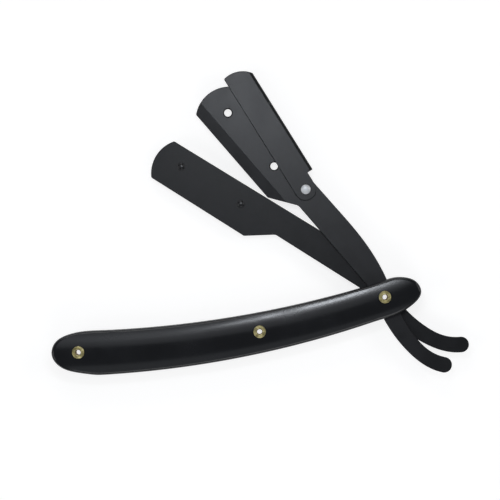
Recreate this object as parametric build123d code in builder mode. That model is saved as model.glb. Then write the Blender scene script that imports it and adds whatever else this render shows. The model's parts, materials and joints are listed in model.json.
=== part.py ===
from build123d import *
from math import cos, radians, sin, tan
import os

# Folding barber's razor for half blades. Two stamped jaws turn like scissors on the main eyelet, between
# two plastic scales. A folded steel lock swings over both spines and presses the jaws together.
#
# Millimetres. The origin is on the main eyelet's axis, in the plane that the eyelets' back lips rest on.
# +X runs from the tail eyelet to the main eyelet, +Y to the side that the jaws fold in from, and +Z from
# the back scale to the front scale. The jaws are drawn swung open, with the lock off and the back jaw
# sprung away from the front one.

# ---- driving dimensions ----

# handle
eyelet_span = 121.3  # tail eyelet to main eyelet
middle_eyelet_distance = 50.4  # main eyelet to middle eyelet, along X
middle_eyelet_drop = 4.6  # bow of the handle, at the middle eyelet
heel_overhang = 14.3  # main eyelet to the handle's nearer end
tail_overhang = 10.4  # tail eyelet to the handle's far end
pivot_above = 6.4  # each eyelet to the handle's two edges
pivot_below = 8.1
middle_above = 7.45
middle_below = 8.4
tail_above = 7.8
tail_below = 8.2
heel_rounding_start = 6.0  # main eyelet to where the handle's end begins to round off
tail_rounding_start = 14.0  # tail eyelet to the same at the other end
scale_thickness = 2.8  # at the crown
crown_radius = 26.0  # of each scale's outer face, across the handle
scale_edge_round = 1.3
scale_inner_chamfer = 0.25
slot_gap = 5.2  # between the scales

# eyelets and collars
bore_radius = 1.0
eyelet_wall = 0.4
lip_radius = 1.85
lip_height = 0.3
collar_radius = 2.45
collar_thickness = 0.6
collar_proud = 0.35
collar_round = 0.2
lip_round = 0.25

# spacers and washers
middle_spacer_radius = 2.6
tail_spacer_radius = 5.6
tail_spacer_length = 7.6  # between the centres of its round ends
tail_spacer_setback = 2.2  # its far end's centre, past the tail eyelet
washer_radius = 4.0

# jaws, measured from the main eyelet: x along the row of studs to the tip, y towards the cutting edge
front_jaw_angle = 120.68  # from +X, counter-clockwise
back_jaw_angle = 137.58
jaw_thickness = 1.2
near_stud_x = 66.8
stud_pitch = 27.5
stud_row_y = -0.8
edge_from_row = 9.9
spine_from_row = 6.9  # at the tip
spine_slope = 0.7  # degrees, the plate is deeper towards the tang
plate_past_studs = 10.6  # far stud to the tip
tip_bulge = 3.0  # how far the round tip stands past its two corners
tip_round = 0.9  # at both of those corners
heel_before_stud = 7.6  # start of the cutting edge to the near stud
heel_length = 10.2  # slope from the cutting edge down to the tang
heel_round = 1.2
tang_width = 10.7
tang_curve_start = 34.0  # where the tang's spine begins to curve to the pivot
hub_half_width = 3.9
tail_length = 38.2
tail_width = 6.1
tail_rise = 4.15  # bow of the tail towards the cutting edge side
tail_turn = 38.0  # degrees that the tail's end has curled back from its root
bevel_width = 4.4
bevel_depth = 0.6
stud_radius = 1.35
stud_shank_radius = 0.9  # through the back jaw
stud_height = 1.0  # above the back jaw's inner face
stud_dome = 0.35

# lock, measured from its rivet: x along the fold to the far end, y towards its inner edge
rivet_x = 51.9  # in the jaw's own axes
rivet_y = -4.2
lock_swing = 8.95  # degrees that the lock stands open from the jaw
lock_sheet = 0.7
lock_fold_y = -6.45
lock_inner_y = 4.4
lock_length = 53.3
lock_tip_round_x = 49.4  # where the far end's arc meets the fold
lock_tip_bulge = 0.1
lock_corner_round = 0.6
lock_fold_start = 5.2
lock_tab_radius = 4.25
lock_bend_round = 1.3
back_leaf_width = 6.4
rivet_radius = 1.1
rivet_head_radius = 1.9
rivet_head_height = 0.75
rivet_head_rim = 0.15
rivet_tail_flare = 0.35

# clearances
running = 0.05  # radial, on a tube or a rivet
side_play = 0.1  # between sliding sheets
washer_play = 0.03
blade_room = 0.1  # between the closed jaws
lock_room = 0.3  # between the lock and the front scale
stud_clearance = 0.1  # radial, stud in the front jaw's hole
stud_lead_in = 0.3  # chamfer round that hole, on the outer face
spring_open = 0.56  # degrees that the back jaw springs away from the front one
spacer_clearance = 0.02
leaf_clearance = 0.2  # between the open lock's back leaf and the spine

# ---- derived levels and places ----

tube_radius = bore_radius + eyelet_wall
collar_seat = collar_thickness - collar_proud
back_face = lip_height + collar_proud
slot_low = back_face + scale_thickness
slot_high = slot_low + slot_gap
front_face = slot_high + scale_thickness
overall_height = front_face + collar_proud + lip_height

lock_top = slot_high - lock_room
front_jaw_top = lock_top - lock_sheet - side_play
front_jaw_low = front_jaw_top - jaw_thickness
back_jaw_top = front_jaw_low - blade_room
back_jaw_low = back_jaw_top - jaw_thickness
lock_low = back_jaw_low - side_play - lock_sheet

pivot = (0.0, 0.0)
middle = (-middle_eyelet_distance, -middle_eyelet_drop)
tail = (-eyelet_span, 0.0)

edge_y = stud_row_y + edge_from_row
spine_y = stud_row_y - spine_from_row
tip_x = near_stud_x + stud_pitch + plate_past_studs
heel_x = near_stud_x - heel_before_stud
tang_end_x = heel_x - heel_length
tang_spine_y = spine_y - (tip_x - tang_curve_start) * tan(radians(spine_slope))
tang_edge_y = tang_spine_y + tang_width
studs = [(near_stud_x, stud_row_y), (near_stud_x + stud_pitch, stud_row_y)]


def turned(degrees, height):
    """The plane at a height whose x axis points at an angle from +X."""
    return Plane(origin=(0, 0, height), x_dir=(cos(radians(degrees)), sin(radians(degrees)), 0))


front_jaw_plane = turned(front_jaw_angle, front_jaw_low)

# The back jaw springs open about a line across the end of its tail, at the middle of its thickness.
flat = turned(back_jaw_angle, back_jaw_low + jaw_thickness / 2)
spring_line = flat.origin - flat.x_dir * tail_length
sprung_x = flat.x_dir * cos(radians(spring_open)) - flat.z_dir * sin(radians(spring_open))
sprung_z = flat.x_dir * sin(radians(spring_open)) + flat.z_dir * cos(radians(spring_open))
sprung_middle = Plane(origin=spring_line + sprung_x * tail_length, x_dir=sprung_x, z_dir=sprung_z)
back_jaw_plane = sprung_middle.offset(-jaw_thickness / 2)

rivet_foot = front_jaw_plane.from_local_coords(Vector(rivet_x, rivet_y, 0))

# Both crowns are turned about the axis of the arc that the three eyelets stand on.
bow = ThreePointArc(tail, middle, pivot)
bow_axis = Axis(bow.arc_center, (0, 0, 1))
bow_plane = Plane(bow.arc_center, (0, -1, 0), (-1, 0, 0))


# ---- outlines ----


def scale_outline():
    """The crescent of one scale, bowed along the three eyelets and rounded off at both ends."""
    heel_x = pivot[0] - heel_rounding_start
    tail_x = tail[0] + tail_rounding_start
    with BuildSketch() as outline:
        with BuildLine():
            top = ThreePointArc(
                (heel_x, pivot_above * 0.85),
                (middle[0], middle[1] + middle_above),
                (tail_x, tail_above * 0.81),
            )
            bottom = ThreePointArc(
                (tail_x, -tail_below * 1.35),
                (middle[0], middle[1] - middle_below),
                (heel_x, -pivot_below * 1.085),
            )
            Spline(
                top @ 1,
                (tail[0] - tail_overhang * 0.21, tail_above * 0.97),
                (tail[0] - tail_overhang * 0.8, tail_above * 0.68),
                (tail[0] - tail_overhang, tail_above * 0.06),
                (tail[0] - tail_overhang * 0.75, -tail_below * 0.55),
                (tail[0] - tail_overhang * 0.33, -tail_below * 0.87),
                (tail[0] + tail_overhang * 0.3, -tail_below * 1.14),
                bottom @ 0,
                tangents=(top % 1, bottom % 0),
            )
            Spline(
                bottom @ 1,
                (heel_overhang * 0.2, -pivot_below * 0.94),
                (heel_overhang * 0.69, -pivot_below * 0.62),
                (heel_overhang, -pivot_below * 0.07),
                (heel_overhang * 0.9, pivot_above * 0.63),
                (heel_overhang * 0.52, pivot_above * 1.035),
                top @ 0,
                tangents=(bottom % 1, top % 0),
            )
        make_face()
    return outline.sketch


def crown_section(inner, crest):
    """Section across the handle of the space between a scale's inner level and its crowned outer face."""
    half_width = 1.3 * middle_below  # past both of the handle's edges
    drop = crown_radius - (crown_radius**2 - half_width**2) ** 0.5
    fall = drop if crest > inner else -drop
    with BuildSketch() as section:
        with BuildLine():
            crown = ThreePointArc(
                (bow.radius - half_width, crest - fall),
                (bow.radius, crest),
                (bow.radius + half_width, crest - fall),
            )
            Polyline(
                crown @ 1,
                (bow.radius + half_width, inner),
                (bow.radius - half_width, inner),
                crown @ 0,
            )
        make_face()
    return section.sketch


def jaw_outline():
    """The stamping that both jaws are cut to: plate, heel, tang, hub and curved tail."""
    half_tail = tail_width / 2
    end_way = Vector(-cos(radians(tail_turn)), -sin(radians(tail_turn)))
    end_side = Vector(-sin(radians(tail_turn)), cos(radians(tail_turn)))
    end_centre = Vector(half_tail - tail_length, -0.035 * tail_width)
    crown_x = -tail_length * 0.51
    with BuildSketch() as outline:
        with BuildLine():
            spine_curve = Spline(
                (tang_curve_start, tang_spine_y),
                (hub_half_width * 3.2, tang_spine_y * 0.82),
                (hub_half_width, -hub_half_width * 1.25),
                (-tail_length * 0.23, tail_rise * 0.63 - tail_width * 0.52),
                (crown_x, tail_rise - half_tail),
                end_centre - end_side * half_tail,
                tangents=((-1, -tan(radians(spine_slope))), end_way),
            )
            ThreePointArc(
                spine_curve @ 1,
                end_centre + end_way * half_tail,
                end_centre + end_side * half_tail,
            )
            edge_curve = Spline(
                end_centre + end_side * half_tail,
                (crown_x * 1.5, tail_rise * 0.7 + half_tail),
                (crown_x, tail_rise + half_tail),
                (-tail_length * 0.2, tail_rise * 0.75 + half_tail),
                (hub_half_width * 0.4, hub_half_width * 0.95),
                (hub_half_width * 3, tang_edge_y),
                tangents=(-end_way, (1, 0)),
            )
            tip_curve = ThreePointArc(
                (tip_x - tip_bulge, edge_y),
                (tip_x, (edge_y + spine_y) / 2),
                (tip_x - tip_bulge, spine_y),
            )
            Polyline(edge_curve @ 1, (tang_end_x, tang_edge_y), (heel_x, edge_y), tip_curve @ 0)
            Line(tip_curve @ 1, spine_curve @ 0)
        make_face()
        for corner, size in (
            ((tip_x - tip_bulge, edge_y), tip_round),
            ((tip_x - tip_bulge, spine_y), tip_round),
            ((heel_x, edge_y), heel_round),
            ((tang_end_x, tang_edge_y), 2 * heel_round),
        ):
            fillet(outline.vertices().sort_by_distance(corner)[0], size)
    return outline.sketch


def bevel_section(surface, outward):
    """Wedge along the cutting edge that thins a jaw from one of its faces."""
    inner = edge_y - bevel_width
    outer = edge_y + bevel_width
    with BuildSketch() as section:
        with BuildLine():
            Polyline(
                (inner, surface),
                (inner, surface + outward),
                (outer, surface + outward),
                (outer, surface - outward * 2 * bevel_depth),
                close=True,
            )
        make_face()
    return section.sketch


def channel_section(inset, round_radius):
    """The lock's folded section, shrunk by an inset, with its open side on the lock's inner edge."""
    low = lock_low + inset
    high = lock_top - inset
    fold = lock_fold_y + inset
    with BuildSketch() as section:
        with BuildLine():
            corners = [(lock_inner_y, low), (fold, low), (fold, high), (lock_inner_y, high)]
            FilletPolyline(*corners, radius=round_radius)
            Line((lock_inner_y, high), (lock_inner_y, low))
        make_face()
    return section.sketch


# ---- handle ----

with BuildPart() as front_scale:
    with BuildSketch(Plane.XY.offset(slot_high)):
        add(scale_outline())
    extrude(amount=scale_thickness)
    with BuildSketch(bow_plane):
        add(crown_section(slot_high, front_face))
    revolve(axis=bow_axis, mode=Mode.INTERSECT)
    fillet(front_scale.faces().sort_by(Axis.Z)[-1].edges(), scale_edge_round)
    chamfer(front_scale.faces().sort_by(Axis.Z)[0].edges(), scale_inner_chamfer)
    for place in (pivot, middle, tail):
        with BuildSketch(Plane.XY.offset(front_face - collar_seat)):
            with Locations(place):
                Circle(collar_radius)
        extrude(amount=collar_seat, mode=Mode.SUBTRACT)
        with BuildSketch(Plane.XY.offset(slot_high)):
            with Locations(place):
                Circle(tube_radius)
        extrude(amount=scale_thickness, mode=Mode.SUBTRACT)
front_scale.part.label = "front_scale"

with BuildPart() as back_scale:
    with BuildSketch(Plane.XY.offset(back_face)):
        add(scale_outline())
    extrude(amount=scale_thickness)
    with BuildSketch(bow_plane):
        add(crown_section(slot_low, back_face))
    revolve(axis=bow_axis, mode=Mode.INTERSECT)
    fillet(back_scale.faces().sort_by(Axis.Z)[0].edges(), scale_edge_round)
    chamfer(back_scale.faces().sort_by(Axis.Z)[-1].edges(), scale_inner_chamfer)
    for place in (pivot, middle, tail):
        with BuildSketch(Plane.XY.offset(back_face)):
            with Locations(place):
                Circle(collar_radius)
        extrude(amount=collar_seat, mode=Mode.SUBTRACT)
        with BuildSketch(Plane.XY.offset(back_face)):
            with Locations(place):
                Circle(tube_radius)
        extrude(amount=scale_thickness, mode=Mode.SUBTRACT)
back_scale.part.label = "back_scale"

parts = [front_scale, back_scale]

for name, place in {"tail": tail, "middle": middle, "pivot": pivot}.items():
    with BuildPart() as eyelet:
        with BuildSketch():
            with Locations(place):
                Circle(tube_radius)
        extrude(amount=overall_height)
        for level in (0, overall_height - lip_height):
            with BuildSketch(Plane.XY.offset(level)):
                with Locations(place):
                    Circle(lip_radius)
            extrude(amount=lip_height)
        with BuildSketch():
            with Locations(place):
                Circle(bore_radius)
        extrude(amount=overall_height, mode=Mode.SUBTRACT)
        ends = eyelet.faces().sort_by(Axis.Z)
        fillet(ends[0].edges() + ends[-1].edges(), lip_round)
    eyelet.part.label = f"{name}_eyelet"
    parts.append(eyelet)

    for side, seat_level, outer in (("front", front_face - collar_seat, -1), ("back", lip_height, 0)):
        with BuildPart() as collar:
            with BuildSketch(Plane.XY.offset(seat_level)):
                with Locations(place):
                    Circle(collar_radius)
                    Circle(tube_radius, mode=Mode.SUBTRACT)
            extrude(amount=collar_thickness)
            rim = collar.faces().sort_by(Axis.Z)[outer].edges().sort_by(SortBy.RADIUS)[-1]
            fillet(rim, collar_round)
        collar.part.label = f"{side}_{name}_collar"
        parts.append(collar)

with BuildPart() as tail_spacer:
    with BuildSketch(Plane.XY.offset(slot_low)):
        with Locations((tail[0] - tail_spacer_setback + tail_spacer_length / 2, 0)):
            SlotCenterToCenter(tail_spacer_length, 2 * tail_spacer_radius)
        with Locations(tail):
            Circle(tube_radius + spacer_clearance, mode=Mode.SUBTRACT)
    extrude(amount=slot_gap)
tail_spacer.part.label = "tail_spacer"

with BuildPart() as middle_spacer:
    with BuildSketch(Plane.XY.offset(slot_low)):
        with Locations(middle):
            Circle(middle_spacer_radius)
            Circle(tube_radius + spacer_clearance, mode=Mode.SUBTRACT)
    extrude(amount=slot_gap)
middle_spacer.part.label = "middle_spacer"

with BuildPart() as front_pivot_washer:
    with BuildSketch(Plane.XY.offset(front_jaw_top + washer_play)):
        Circle(washer_radius)
        Circle(tube_radius + running, mode=Mode.SUBTRACT)
    extrude(amount=slot_high - front_jaw_top - washer_play)
front_pivot_washer.part.label = "front_pivot_washer"

# The sprung jaw's hub drops towards the back washer, which is thinner by that much.
hub_drop = (tail_length + washer_radius) * sin(radians(spring_open))
with BuildPart() as back_pivot_washer:
    with BuildSketch(Plane.XY.offset(slot_low)):
        Circle(washer_radius)
        Circle(tube_radius + running, mode=Mode.SUBTRACT)
    extrude(amount=back_jaw_low - hub_drop - washer_play - slot_low)
back_pivot_washer.part.label = "back_pivot_washer"

# ---- jaws ----

with BuildPart() as front_jaw:
    with BuildSketch(front_jaw_plane):
        add(jaw_outline())
        Circle(tube_radius + running, mode=Mode.SUBTRACT)
        with Locations(*studs):
            Circle(stud_radius + stud_clearance, mode=Mode.SUBTRACT)
        with Locations((rivet_x, rivet_y)):
            Circle(rivet_radius, mode=Mode.SUBTRACT)
    extrude(amount=jaw_thickness)
    with BuildSketch(Plane(front_jaw_plane.origin, front_jaw_plane.y_dir, front_jaw_plane.x_dir)):
        add(bevel_section(jaw_thickness, 1))
    extrude(amount=2 * tip_x, mode=Mode.SUBTRACT)
    rivet_rims = front_jaw.edges().filter_by(GeomType.CIRCLE).sort_by_distance(rivet_foot)
    chamfer(rivet_rims[0], rivet_tail_flare)
    for x, y in studs:
        mouth = front_jaw_plane.from_local_coords(Vector(x, y, jaw_thickness))
        chamfer(front_jaw.edges().filter_by(GeomType.CIRCLE).sort_by_distance(mouth)[0], stud_lead_in)
front_jaw.part.label = "front_jaw"

with BuildPart() as back_jaw:
    with BuildSketch(back_jaw_plane):
        add(jaw_outline())
        Circle(tube_radius + running, mode=Mode.SUBTRACT)
        with Locations(*studs):
            Circle(stud_shank_radius, mode=Mode.SUBTRACT)
    extrude(amount=jaw_thickness)
    with BuildSketch(Plane(back_jaw_plane.origin, back_jaw_plane.y_dir, back_jaw_plane.x_dir)):
        add(bevel_section(0, -1))
    extrude(amount=2 * tip_x, mode=Mode.SUBTRACT)
back_jaw.part.label = "back_jaw"

with BuildPart() as blade_studs:
    with BuildSketch(back_jaw_plane):
        with Locations(*studs):
            Circle(stud_shank_radius)
    extrude(amount=jaw_thickness)
    with BuildSketch(back_jaw_plane.offset(jaw_thickness)):
        with Locations(*studs):
            Circle(stud_radius)
    extrude(amount=stud_height)
    for x, y in studs:
        top = back_jaw_plane.from_local_coords(Vector(x, y, jaw_thickness + stud_height))
        fillet(blade_studs.edges().filter_by(GeomType.CIRCLE).sort_by_distance(top)[0], stud_dome)
blade_studs.part.label = "blade_studs"

# ---- lock ----

lock_axes = turned(front_jaw_angle - lock_swing, 0)
lock_plane = Plane((rivet_foot.X, rivet_foot.Y, 0), lock_axes.x_dir, lock_axes.z_dir)
fold_plane = Plane(lock_plane.origin, lock_plane.y_dir, lock_plane.x_dir)

# The back leaf tapers, so that with the lock off it clears the spine of a jaw that lies on the front one.
spine_at_rivet = tang_spine_y + (rivet_x - tang_curve_start) * tan(radians(spine_slope)) - rivet_y
open_slope = tan(radians(spine_slope + lock_swing))
taper_y = spine_at_rivet / cos(radians(lock_swing)) + lock_fold_start * open_slope - leaf_clearance
back_leaf_y = lock_fold_y + back_leaf_width
taper_end_x = lock_fold_start + (back_leaf_y - taper_y) / open_slope
past_tip_x = lock_fold_start + lock_length

with BuildPart() as swing_lock:
    with BuildSketch(fold_plane.offset(lock_fold_start)):
        add(channel_section(0, lock_bend_round))
        add(channel_section(lock_sheet, lock_bend_round - lock_sheet), mode=Mode.SUBTRACT)
    extrude(amount=lock_length)
    with BuildSketch(lock_plane.offset(lock_low)) as lock_outline:
        with BuildLine():
            Polyline(
                (lock_tip_round_x, lock_fold_y),
                (0, lock_fold_y),
                (0, lock_inner_y),
                (lock_length, lock_inner_y),
            )
            ThreePointArc(
                (lock_length, lock_inner_y),
                (lock_length - lock_tip_bulge, (lock_fold_y + lock_inner_y) / 2),
                (lock_tip_round_x, lock_fold_y),
            )
        make_face()
        far_corner = lock_outline.vertices().sort_by_distance((lock_length, lock_inner_y))[0]
        fillet(far_corner, lock_corner_round)
    extrude(amount=lock_top - lock_low, mode=Mode.INTERSECT)
    with BuildSketch(lock_plane.offset(lock_low)):
        with BuildLine():
            Polyline(
                (lock_fold_start, taper_y),
                (taper_end_x, back_leaf_y),
                (past_tip_x, back_leaf_y),
                (past_tip_x, lock_inner_y),
                (lock_fold_start, lock_inner_y),
                close=True,
            )
        make_face()
    extrude(amount=lock_sheet, mode=Mode.SUBTRACT)
    with BuildSketch(lock_plane.offset(lock_top - lock_sheet)):
        with Locations((0, lock_inner_y - lock_tab_radius)):
            Circle(lock_tab_radius)
            Rectangle(lock_fold_start, 2 * lock_tab_radius, align=(Align.MIN, Align.CENTER))
    extrude(amount=lock_sheet)
    with BuildSketch(lock_plane.offset(lock_top - lock_sheet)):
        Circle(rivet_radius + running)
    extrude(amount=lock_sheet, mode=Mode.SUBTRACT)
swing_lock.part.label = "swing_lock"

with BuildPart() as lock_rivet:
    with BuildSketch(Plane(rivet_foot, lock_plane.x_dir, -lock_plane.y_dir)):
        with BuildLine():
            shank_top = lock_top + washer_play - front_jaw_low
            Polyline(
                (0, shank_top + rivet_head_height),
                (0, 0),
                (rivet_radius + rivet_tail_flare, 0),
                (rivet_radius, rivet_tail_flare),
                (rivet_radius, shank_top),
                (rivet_head_radius, shank_top),
                (rivet_head_radius, shank_top + rivet_head_rim),
            )
            Spline(
                (rivet_head_radius, shank_top + rivet_head_rim),
                (0, shank_top + rivet_head_height),
                tangents=((-0.3, 1), (-1, 0)),
            )
        make_face()
    revolve(axis=Axis(rivet_foot, (0, 0, 1)))
lock_rivet.part.label = "lock_rivet"

# ---- files ----

parts += [tail_spacer, middle_spacer, front_pivot_washer, back_pivot_washer]
parts += [front_jaw, back_jaw, blade_studs, swing_lock, lock_rivet]

os.makedirs("parts", exist_ok=True)
for piece in parts:
    export_step(piece.part, f"parts/{piece.part.label}.step")
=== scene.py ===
import json
import math

import bmesh
import bpy
from mathutils import Matrix, Quaternion, Vector

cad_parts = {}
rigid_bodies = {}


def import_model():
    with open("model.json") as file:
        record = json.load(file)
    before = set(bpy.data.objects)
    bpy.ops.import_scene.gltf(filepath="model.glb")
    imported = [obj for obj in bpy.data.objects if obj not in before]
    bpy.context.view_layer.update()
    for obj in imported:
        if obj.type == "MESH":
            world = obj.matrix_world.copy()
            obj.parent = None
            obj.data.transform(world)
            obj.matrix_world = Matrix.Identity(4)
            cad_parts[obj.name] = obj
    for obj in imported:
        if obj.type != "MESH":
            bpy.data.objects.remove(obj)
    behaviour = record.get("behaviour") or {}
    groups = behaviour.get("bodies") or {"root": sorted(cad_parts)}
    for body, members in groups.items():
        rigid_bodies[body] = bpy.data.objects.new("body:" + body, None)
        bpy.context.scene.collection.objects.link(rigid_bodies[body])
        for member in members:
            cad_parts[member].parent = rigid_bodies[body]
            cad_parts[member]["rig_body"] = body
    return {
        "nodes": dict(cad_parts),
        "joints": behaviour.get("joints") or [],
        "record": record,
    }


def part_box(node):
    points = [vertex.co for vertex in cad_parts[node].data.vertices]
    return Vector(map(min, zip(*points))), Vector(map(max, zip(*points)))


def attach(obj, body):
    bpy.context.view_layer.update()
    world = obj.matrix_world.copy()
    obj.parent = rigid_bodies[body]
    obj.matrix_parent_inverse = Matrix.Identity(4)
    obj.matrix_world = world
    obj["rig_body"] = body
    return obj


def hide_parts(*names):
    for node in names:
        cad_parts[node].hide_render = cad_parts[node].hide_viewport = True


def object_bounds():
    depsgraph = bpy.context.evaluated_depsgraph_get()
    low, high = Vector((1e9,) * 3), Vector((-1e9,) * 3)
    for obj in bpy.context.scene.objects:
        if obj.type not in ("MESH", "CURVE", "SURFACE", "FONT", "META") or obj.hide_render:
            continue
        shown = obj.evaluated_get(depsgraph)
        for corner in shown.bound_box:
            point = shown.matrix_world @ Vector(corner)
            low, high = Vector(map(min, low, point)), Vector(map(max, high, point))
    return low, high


# Folding barber's razor for half blades: glossy moulded scales, plated eyelets, black coated stampings.
# Metres, in the row frame: the main eyelet stands on the origin, +X points away from the handle's tail
# and +Z from the back scale to the front scale.

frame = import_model()
cad_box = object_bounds()
record = frame["record"]
mounts = {mount["name"]: mount for mount in record["mounts"]}
joints = {joint["name"]: joint for joint in frame["joints"]}
MM = 0.001


# ---- shader maths ----


class Wire:
    """An output socket in a material. Python arithmetic on it adds Math nodes to that material."""

    def __init__(self, tree, socket=None):
        self.tree = tree
        self.socket = socket

    def node(self, kind, settings=None, inputs=None, output=0):
        """Adds a node, sets it up, feeds its inputs with values or wires and gives one of its outputs."""
        made = self.tree.nodes.new(kind)
        for key, value in (settings or {}).items():
            setattr(made, key, value)
        for key, value in (inputs or {}).items():
            if isinstance(value, Wire):
                self.tree.links.new(value.socket, made.inputs[key])
            else:
                made.inputs[key].default_value = value
        return Wire(self.tree, made.outputs[output])

    def maths(self, operation, first, second):
        return self.node("ShaderNodeMath", {"operation": operation}, {0: first, 1: second})

    def __add__(self, other):
        return self.maths("ADD", self, other)

    def __radd__(self, other):
        return self.maths("ADD", other, self)

    def __sub__(self, other):
        return self.maths("SUBTRACT", self, other)

    def __rsub__(self, other):
        return self.maths("SUBTRACT", other, self)

    def __mul__(self, other):
        return self.maths("MULTIPLY", self, other)

    def __rmul__(self, other):
        return self.maths("MULTIPLY", other, self)

    def between(self, low, high):
        """0 at low, 1 at high, smooth in between."""
        inputs = {"Value": self, "From Min": low, "From Max": high}
        return self.node("ShaderNodeMapRange", {"interpolation_type": "SMOOTHSTEP"}, inputs)

    def tint(self, start, end):
        """A colour between two colours, by this value."""
        factor, first_colour, second_colour, mixed_colour = 0, 6, 7, 2
        inputs = {factor: self, first_colour: (*start, 1), second_colour: (*end, 1)}
        return self.node("ShaderNodeMix", {"data_type": "RGBA"}, inputs, mixed_colour)


class Finish:
    """One procedural material: a Principled shader and the object coordinates that its patterns read."""

    def __init__(self, name, **constants):
        self.material = bpy.data.materials.new(name)
        self.material.use_nodes = True
        tree = self.material.node_tree
        self.shader = tree.nodes["Principled BSDF"]
        self.wire = Wire(tree)
        self.place = self.wire.node("ShaderNodeTexCoord", output="Object")
        for socket, value in constants.items():
            self.shader.inputs[socket.replace("_", " ")].default_value = value

    def turned(self, degrees, stretch):
        """The object coordinates turned about Z, then stretched along the turned X for a grain or marks."""
        turn = (0, 0, math.radians(degrees))
        inputs = {"Vector": self.place, "Rotation": turn, "Scale": (stretch, 1, 1)}
        return self.wire.node("ShaderNodeMapping", {"vector_type": "TEXTURE"}, inputs)

    def noise(self, size, detail=2.0, place=None):
        """Noise from 0 to 1 whose patches are about the given size across, in metres."""
        inputs = {"Vector": place or self.place, "Scale": 1 / size, "Detail": detail}
        return self.wire.node("ShaderNodeTexNoise", inputs=inputs)

    def feed(self, **wires):
        for socket, value in wires.items():
            self.wire.tree.links.new(value.socket, self.shader.inputs[socket.replace("_", " ")])

    def bump(self, height, depth):
        """Feeds the normal from a height from 0 to 1 that stands for the given depth, in metres."""
        inputs = {"Height": height, "Distance": depth, "Strength": 1.0}
        self.feed(Normal=self.wire.node("ShaderNodeBump", inputs=inputs))


def scratches(finish, degrees, length, width, share=0.3):
    """Fine straight marks, 1 on a mark and 0 elsewhere: stretched noise cut near its top."""
    streaks = finish.noise(width, 1.0, finish.turned(degrees, length / width))
    return streaks.between(1 - share, 1 - share / 2)


def coating(name, dark, light, smooth, rough, grain_degrees, gloss):
    """Black baked coating on stamped steel: satin, faintly grained, with handling marks."""
    finish = Finish(name, IOR=gloss)
    patches = finish.noise(9 * MM, 3.0).between(0.3, 0.7)
    speckle = finish.noise(0.35 * MM, 2.0)
    grain = finish.noise(0.22 * MM, 2.0, finish.turned(grain_degrees, 14))
    marks = scratches(finish, grain_degrees + 24, length=5 * MM, width=0.1 * MM)
    shade = patches * 0.6 + speckle * 0.25 + grain * 0.3
    finish.feed(Base_Color=shade.between(0.25, 0.95).tint(dark, light))
    finish.feed(Roughness=smooth + (rough - smooth) * (patches * 0.5 + speckle * 0.5) - marks * 0.06)
    finish.bump(speckle * 0.75 + grain * 0.25 - marks * 0.2, 0.006 * MM)
    return finish.material


def worn_and_shaded_coating(name, coat, metal):
    """A darker, matt copy of the coating where the sheet was cut or folded, with bare steel in a few small
    breaks. The breaks are real wear; the darker coat is painted shade that draws the edges as dark lines.
    """
    finish = Finish(name, IOR=1.35)
    breaks = (finish.noise(0.5 * MM, 3.0) * 0.7 + finish.noise(5 * MM, 2.0) * 0.5).between(0.74, 0.84)
    finish.feed(Base_Color=breaks.tint(coat, metal))
    finish.feed(Metallic=breaks * 0.6, Roughness=0.5 - breaks * 0.12)
    finish.bump(finish.noise(0.3 * MM), 0.006 * MM)
    return finish.material


def moulded(name, dark, light, smooth, rough, ripple):
    """Polished moulded plastic with faint flow ripples, smudges and hairline scratches."""
    finish = Finish(name, IOR=1.48)
    smudges = finish.noise(14 * MM, 4.0).between(0.42, 0.72)
    flow = finish.noise(6 * MM, 1.0, finish.turned(0, 4))
    hairs = scratches(finish, 12, length=16 * MM, width=0.09 * MM)
    fine = finish.noise(0.5 * MM, 2.0)
    finish.feed(Base_Color=(smudges * 0.7 + fine * 0.3).tint(dark, light))
    finish.feed(Roughness=smooth + (rough - smooth) * smudges + hairs * 0.08 + fine * 0.02)
    finish.bump(flow * ripple + fine * 0.02 - hairs * 0.03, 0.03 * MM)
    return finish.material


def plated(name, dark, light, smooth, rough):
    """Plated metal: tarnish in soft patches and small spots, and a fine grain."""
    finish = Finish(name, Metallic=1.0)
    patches = finish.noise(1.1 * MM, 4.0)
    spots = finish.noise(0.25 * MM, 2.0)
    tarnish = (patches * 0.6 + spots * 0.4).between(0.35, 0.65)
    fine = finish.noise(0.12 * MM, 2.0)
    finish.feed(Base_Color=tarnish.tint(dark, light))
    finish.feed(Roughness=rough - (rough - smooth) * tarnish + fine * 0.05)
    finish.bump(fine, 0.004 * MM)
    return finish.material


scale_plastic = moulded(
    "polished_black_plastic",
    dark=(0.008, 0.0087, 0.0102),
    light=(0.013, 0.014, 0.0164),
    smooth=0.13,
    rough=0.19,
    ripple=0.05,
)
spacer_plastic = moulded(
    "matt_black_plastic",
    dark=(0.012, 0.012, 0.013),
    light=(0.022, 0.022, 0.024),
    smooth=0.5,
    rough=0.62,
    ripple=0.5,
)
front_black = coating(
    "front_jaw_coating",
    dark=(0.0062, 0.0066, 0.0082),
    light=(0.0115, 0.0121, 0.0146),
    smooth=0.31,
    rough=0.38,
    grain_degrees=120.7,
    gloss=1.53,
)
# The back jaw wears the same black coating as the front jaw; this copy's darker colours are painted shade
# that makes the back jaw read darker than the front one.
back_jaw_shaded_black = coating(
    "back_jaw_shaded_coating",
    dark=(0.006, 0.0065, 0.0078),
    light=(0.0105, 0.0113, 0.0134),
    smooth=0.34,
    rough=0.42,
    grain_degrees=137.6,
    gloss=1.42,
)
# The studs carry the jaw's black coating; this copy is darker, painted shade that stands for the dark look
# of the small domes.
stud_shaded_black = coating(
    "stud_shaded_coating",
    dark=(0.004, 0.0044, 0.0052),
    light=(0.0075, 0.0082, 0.0096),
    smooth=0.26,
    rough=0.32,
    grain_degrees=0,
    gloss=1.6,
)
lock_black = coating(
    "lock_coating",
    dark=(0.0064, 0.0068, 0.0084),
    light=(0.0118, 0.0123, 0.0149),
    smooth=0.31,
    rough=0.38,
    grain_degrees=111.7,
    gloss=1.52,
)
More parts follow.
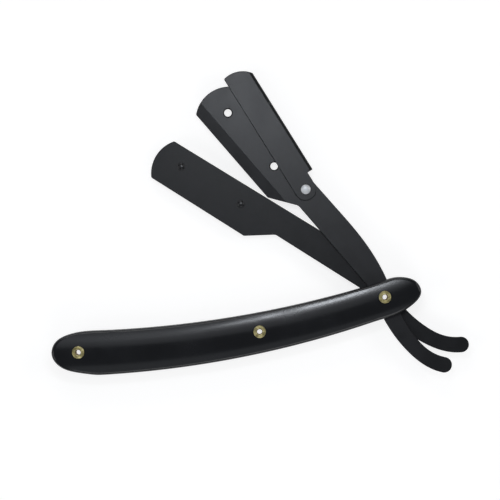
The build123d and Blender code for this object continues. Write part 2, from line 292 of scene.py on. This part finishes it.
# Edge coat: darker than the jaw coatings, as painted shade that draws the cut edges and the ground bevel as
# dark lines; its bare steel breaks are real wear.
worn_and_shaded_edge = worn_and_shaded_coating(
    "worn_and_shaded_edge_coating",
    coat=(0.003, 0.0032, 0.0036),
    metal=(0.07, 0.07, 0.075),
)
olive_gold = plated(
    "olive_gold_plating",
    dark=(0.34, 0.29, 0.12),
    light=(0.78, 0.70, 0.36),
    smooth=0.3,
    rough=0.46,
)
bore_brown = plated(
    "bore_brown_brass",
    dark=(0.2, 0.11, 0.05),
    light=(0.5, 0.33, 0.19),
    smooth=0.4,
    rough=0.6,
)
washer_brass = plated(
    "rubbed_washer_brass",
    dark=(0.4, 0.27, 0.1),
    light=(0.62, 0.46, 0.2),
    smooth=0.25,
    rough=0.4,
)
satin_nickel = plated(
    "satin_nickel",
    dark=(0.84, 0.86, 0.88),
    light=(0.96, 0.97, 0.98),
    smooth=0.4,
    rough=0.52,
)


# ---- pieces ----


def finished(mesh_work, name, body, node, materials, creases=(32, 180)):
    """Turns a bmesh into a piece that stands for a CAD node and rides on its body.

    Shading breaks at an edge whose angle lies between the two of creases, in degrees.
    """
    bmesh.ops.recalc_face_normals(mesh_work, faces=mesh_work.faces)
    mesh_work.normal_update()
    mesh = bpy.data.meshes.new(name)
    least, most = (math.radians(degrees) for degrees in creases)
    for face in mesh_work.faces:
        face.smooth = True
    for edge in mesh_work.edges:
        edge.smooth = not least < edge.calc_face_angle(0) < most
    mesh_work.to_mesh(mesh)
    mesh_work.free()
    for material in materials:
        mesh.materials.append(material)
    piece = bpy.data.objects.new(name, mesh)
    bpy.context.scene.collection.objects.link(piece)
    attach(piece, body)
    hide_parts(node)
    return piece


def lathe(mesh_work, profile, steps, place):
    """Turns a closed profile of (radius, height) points about Z, then puts the ring in place."""
    points = [mesh_work.verts.new((radius, 0, height)) for radius, height in profile]
    lines = [mesh_work.edges.new(pair) for pair in zip(points, points[1:] + points[:1])]
    before = set(mesh_work.verts) - set(points)
    bmesh.ops.spin(
        mesh_work,
        geom=points + lines,
        axis=(0, 0, 1),
        cent=(0, 0, 0),
        steps=steps,
        angle=2 * math.pi,
        use_merge=True,
    )
    made = [vert for vert in mesh_work.verts if vert not in before]
    bmesh.ops.remove_doubles(mesh_work, verts=made, dist=0.002 * MM)
    made = [vert for vert in mesh_work.verts if vert not in before]
    bmesh.ops.transform(mesh_work, matrix=place, verts=made)


def arc(centre, radius, start, end, count):
    """Points of (radius, height) along an arc. Angles are in degrees from outwards, turning upwards."""
    turns = [math.radians(start + (end - start) * i / count) for i in range(count + 1)]
    return [(centre[0] + radius * math.cos(t), centre[1] + radius * math.sin(t)) for t in turns]


def dome(radius, base, rise, steps=10):
    """Points of (radius, height) on a quarter ellipse, from the dome's rim to its top on the axis."""
    turns = [math.radians(90 - 90 * i / steps) for i in range(steps + 1)]
    return [(radius * math.sin(t), base + rise * math.cos(t)) for t in turns]


def softened(node, name, coat, width):
    """A copy of a stamped CAD node with rounded edges. The rounded and the sloping faces get the darker
    edge coat: partly real wear, partly painted shade along the edges and on the ground bevel.
    """
    work = bmesh.new()
    work.from_mesh(frame["nodes"][node].data)
    bmesh.ops.remove_doubles(work, verts=work.verts, dist=0.001 * MM)
    flatness = math.radians(0.2)
    bmesh.ops.dissolve_limit(work, angle_limit=flatness, verts=work.verts, edges=work.edges)
    corner = math.radians(28)
    hard = [edge for edge in work.edges if edge.is_manifold and edge.calc_face_angle(0) > corner]
    rounded = bmesh.ops.bevel(
        work,
        geom=hard,
        offset=width,
        offset_type="OFFSET",
        affect="EDGES",
        segments=2,
        profile=0.5,
        material=-1,
    )
    sheer = 0.2
    level = 0.985
    plain, worn = 0, 1
    # Sloping faces, such as the ground bevel, take the darker edge coat too: painted shade.
    for face in work.faces:
        face.material_index = worn if sheer < abs(face.normal.z) < level else plain
    for face in rounded["faces"]:
        face.material_index = worn
    body = frame["nodes"][node]["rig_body"]
    # The line where the edge bevel is ground stays crisp, and the rounded edges stay smooth.
    piece = finished(work, name, body, node, [coat, worn_and_shaded_edge], creases=(5, 15))
    flats = piece.modifiers.new("flat_faces_stay_flat", "WEIGHTED_NORMAL")
    flats.keep_sharp = True
    flats.weight = 100


softened("front_jaw", "front_jaw_stamping", front_black, 0.13 * MM)
softened("back_jaw", "back_jaw_stamping", back_jaw_shaded_black, 0.13 * MM)
softened("swing_lock", "swing_lock_folded_sheet", lock_black, 0.2 * MM)

# Eyelets: a tube whose two ends are rolled outwards over the collars. Each collar is a domed ring.
eyelet_wall = 0.38 * MM
lip_thickness = 0.3 * MM
for place in ("tail", "middle", "pivot"):
    node = f"{place}_eyelet"
    low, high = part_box(node)
    centre = (low + high) / 2
    lip = (high.x - low.x) / 2
    bore = mounts[f"{place}_bore"]["dims"]["r_mm"] * MM
    roll = (lip - bore) / 2
    profile = [
        *arc((bore + roll, high.z - roll), roll, start=180, end=0, count=12),
        (lip - 0.06 * MM, high.z - lip_thickness - roll * 0.1),
        (bore + eyelet_wall, high.z - roll * 1.1),
    ]
    below = [(radius, 2 * centre.z - height) for radius, height in reversed(profile)]
    stand = Matrix.Translation((centre.x, centre.y, 0))
    work = bmesh.new()
    lathe(work, [*profile, *below], steps=80, place=stand)
    bore_side = bore + 0.1 * MM
    for face in work.faces:
        reach = (face.calc_center_median() - centre).xy.length
        face.material_index = 1 if reach < bore_side else 0
    finished(work, f"{place}_eyelet_rolled", "handle", node, [olive_gold, bore_brown])
    for side in ("front", "back"):
        node = f"{side}_{place}_collar"
        low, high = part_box(node)
        outer = (high.x - low.x) / 2
        seat, crest = (low.z, high.z) if side == "front" else (high.z, low.z)
        rise = crest - seat
        inner = bore + eyelet_wall + 0.03 * MM
        ring = [
            (inner, seat),
            (inner, crest - rise * 0.04),
            (lip - 0.1 * MM, crest),
            (lip + 0.08 * MM, crest - rise * 0.06),
            (lip + 0.28 * MM, crest - rise * 0.19),
            (lip + 0.45 * MM, crest - rise * 0.38),
            (outer - 0.04 * MM, crest - rise * 0.6),
            (outer, crest - rise * 0.7),
            (outer, seat),
        ]
        work = bmesh.new()
        lathe(work, ring, steps=80, place=stand)
        finished(work, f"{node}_ring", "handle", node, [olive_gold])

# Rivet: a domed head on the lock, and a shank through the front jaw that is spread at its foot.
low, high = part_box("lock_rivet")
pin = Vector(joints["lock_swing"]["pos_m"])
head_radius = (high.x - low.x) / 2
head_rise = 0.59 * MM
head_rim = 0.16 * MM
head_low = high.z - head_rise - head_rim
shank = 1.08 * MM
profile = [
    (0, low.z),
    (shank + 0.2 * MM, low.z),
    (shank, low.z + 0.3 * MM),
    (shank, head_low),
    (head_radius, head_low),
    *dome(head_radius, head_low + head_rim, head_rise),
]
work = bmesh.new()
lathe(work, profile, steps=72, place=Matrix.Translation((pin.x, pin.y, 0)))
finished(work, "lock_rivet_domed", "front_jaw_body", "lock_rivet", [satin_nickel])

# Studs: two shouldered posts, square to the sprung back jaw, with their shanks through it.
studs = mounts["blade_studs"]
up = Vector(studs["axis"]).normalized()
across = Vector(joints["back_jaw_flex"]["axis"]).normalized()
along = across.cross(up)
post = studs["dims"]["stud_r_mm"] * MM
pitch = studs["dims"]["pcd_mm"] * MM
jaw_thickness = 1.2 * MM
stud_shank = 0.88 * MM
post_side = 0.5 * MM
post_dome = 0.5 * MM
profile = [
    (0, -jaw_thickness),
    (stud_shank, -jaw_thickness),
    (stud_shank, 0),
    (post, 0),
    *dome(post, post_side, post_dome),
]
work = bmesh.new()
for side in (-0.5, 0.5):
    stand = Matrix((along, across, up)).transposed().to_4x4()
    stand.translation = Vector(studs["pos_m"]) + along * pitch * side
    lathe(work, profile, steps=48, place=stand)
finished(work, "blade_studs_domed", "back_jaw_body", "blade_studs", [stud_shaded_black])

for node, material in {
    "front_scale": scale_plastic,
    "back_scale": scale_plastic,
    "tail_spacer": spacer_plastic,
    "middle_spacer": spacer_plastic,
    "front_pivot_washer": washer_brass,
    "back_pivot_washer": washer_brass,
}.items():
    frame["nodes"][node].data.materials[0] = material


# ---- floor, light and camera ----

floor_drop = 0.02 * MM
floor_work = bmesh.new()
bmesh.ops.create_grid(floor_work, x_segments=1, y_segments=1, size=6.0)
bmesh.ops.translate(floor_work, vec=(0, 0, cad_box[0].z - floor_drop), verts=floor_work.verts)
floor_mesh = bpy.data.meshes.new("floor")
floor_work.to_mesh(floor_mesh)
floor_work.free()
floor = bpy.data.objects.new("floor", floor_mesh)
bpy.context.scene.collection.objects.link(floor)
paper = Finish("light_table", Roughness=0.9, Emission_Color=(1, 1, 1, 1), Emission_Strength=0.8)
paper.feed(Base_Color=paper.noise(40 * MM).tint((0.4, 0.4, 0.4), (0.42, 0.42, 0.42)))
floor_mesh.materials.append(paper.material)


def softbox(name, place, target, size, power, tone=(1, 1, 1), turn=0):
    """A rectangular area light that faces a target. turn is in degrees about its own beam."""
    lamp = bpy.data.lights.new(name, "AREA")
    lamp.shape = "RECTANGLE"
    lamp.size, lamp.size_y = size
    lamp.energy = power
    lamp.color = tone
    holder = bpy.data.objects.new(name, lamp)
    holder.location = place
    holder.rotation_mode = "QUATERNION"
    beam = (Vector(place) - Vector(target)).to_track_quat("Z", "Y")
    holder.rotation_quaternion = beam @ Quaternion((0, 0, 1), math.radians(turn))
    bpy.context.scene.collection.objects.link(holder)


centre = (cad_box[0] + cad_box[1]) / 2
cool = (0.9, 0.94, 1.0)
above = Vector((0, 0, 0.3))
# Sheets of light: the strip makes the highlight on the front scale, and each wider sheet fades its edge
# further. The low one lights the scale's lower slope.
for name, spot, size, power, turn in (
    ("highlight_strip", (-0.032, 0.109, 0), (0.048, 0.01), 0.05, -25),
    ("outer_sheet", (-0.03, 0.106, 0), (0.075, 0.034), 0.04, -20),
    ("near_sheet", (-0.045, 0.105, 0), (0.15, 0.07), 0.036, -18),
    ("wide_sheet", (-0.06, 0.1, 0), (0.18, 0.11), 0.036, -20),
    ("high_sheet", (-0.07, 0.1, 0), (0.2, 0.15), 0.043, -20),
    ("low_sheet", (-0.05, -0.2, 0), (0.3, 0.12), 0.042, 0),
):
    spot = Vector(spot)
    softbox(name, spot + above, spot, size, power, cool, turn)
for name, place in {
    "left_fill": (-0.9, -0.1, 0.6),
    "right_fill": (0.8, 0.1, 0.6),
    "front_fill": (-0.05, -0.9, 0.6),
    "back_fill": (-0.05, 0.95, 0.6),
}.items():
    softbox(name, place, centre, (0.7, 0.4), 1.5)

world = bpy.data.worlds.new("studio")
bpy.context.scene.world = world
world.use_nodes = True
backdrop = world.node_tree.nodes["Background"]
backdrop.inputs["Color"].default_value = (0.9, 0.93, 1.0, 1)
seen = Wire(world.node_tree).node("ShaderNodeLightPath")
room_light = 0.13
strength = seen * (1 - room_light) + room_light
world.node_tree.links.new(strength.socket, backdrop.inputs["Strength"])

view_width = 195 * MM
view_centre = Vector((-48.44, 27.36, 7)) * MM
view_turn = math.radians(-10.22)
camera_data = bpy.data.cameras.new("camera")
camera_data.lens = 300
camera_data.sensor_width = 36
camera_data.clip_end = 50
camera = bpy.data.objects.new("camera", camera_data)
distance = view_width * camera_data.lens / camera_data.sensor_width
camera.location = view_centre + Vector((0, 0, distance))
camera.rotation_euler = (0, 0, view_turn)
bpy.context.scene.collection.objects.link(camera)
bpy.context.scene.camera = camera
bpy.context.scene.view_settings.view_transform = "Standard"
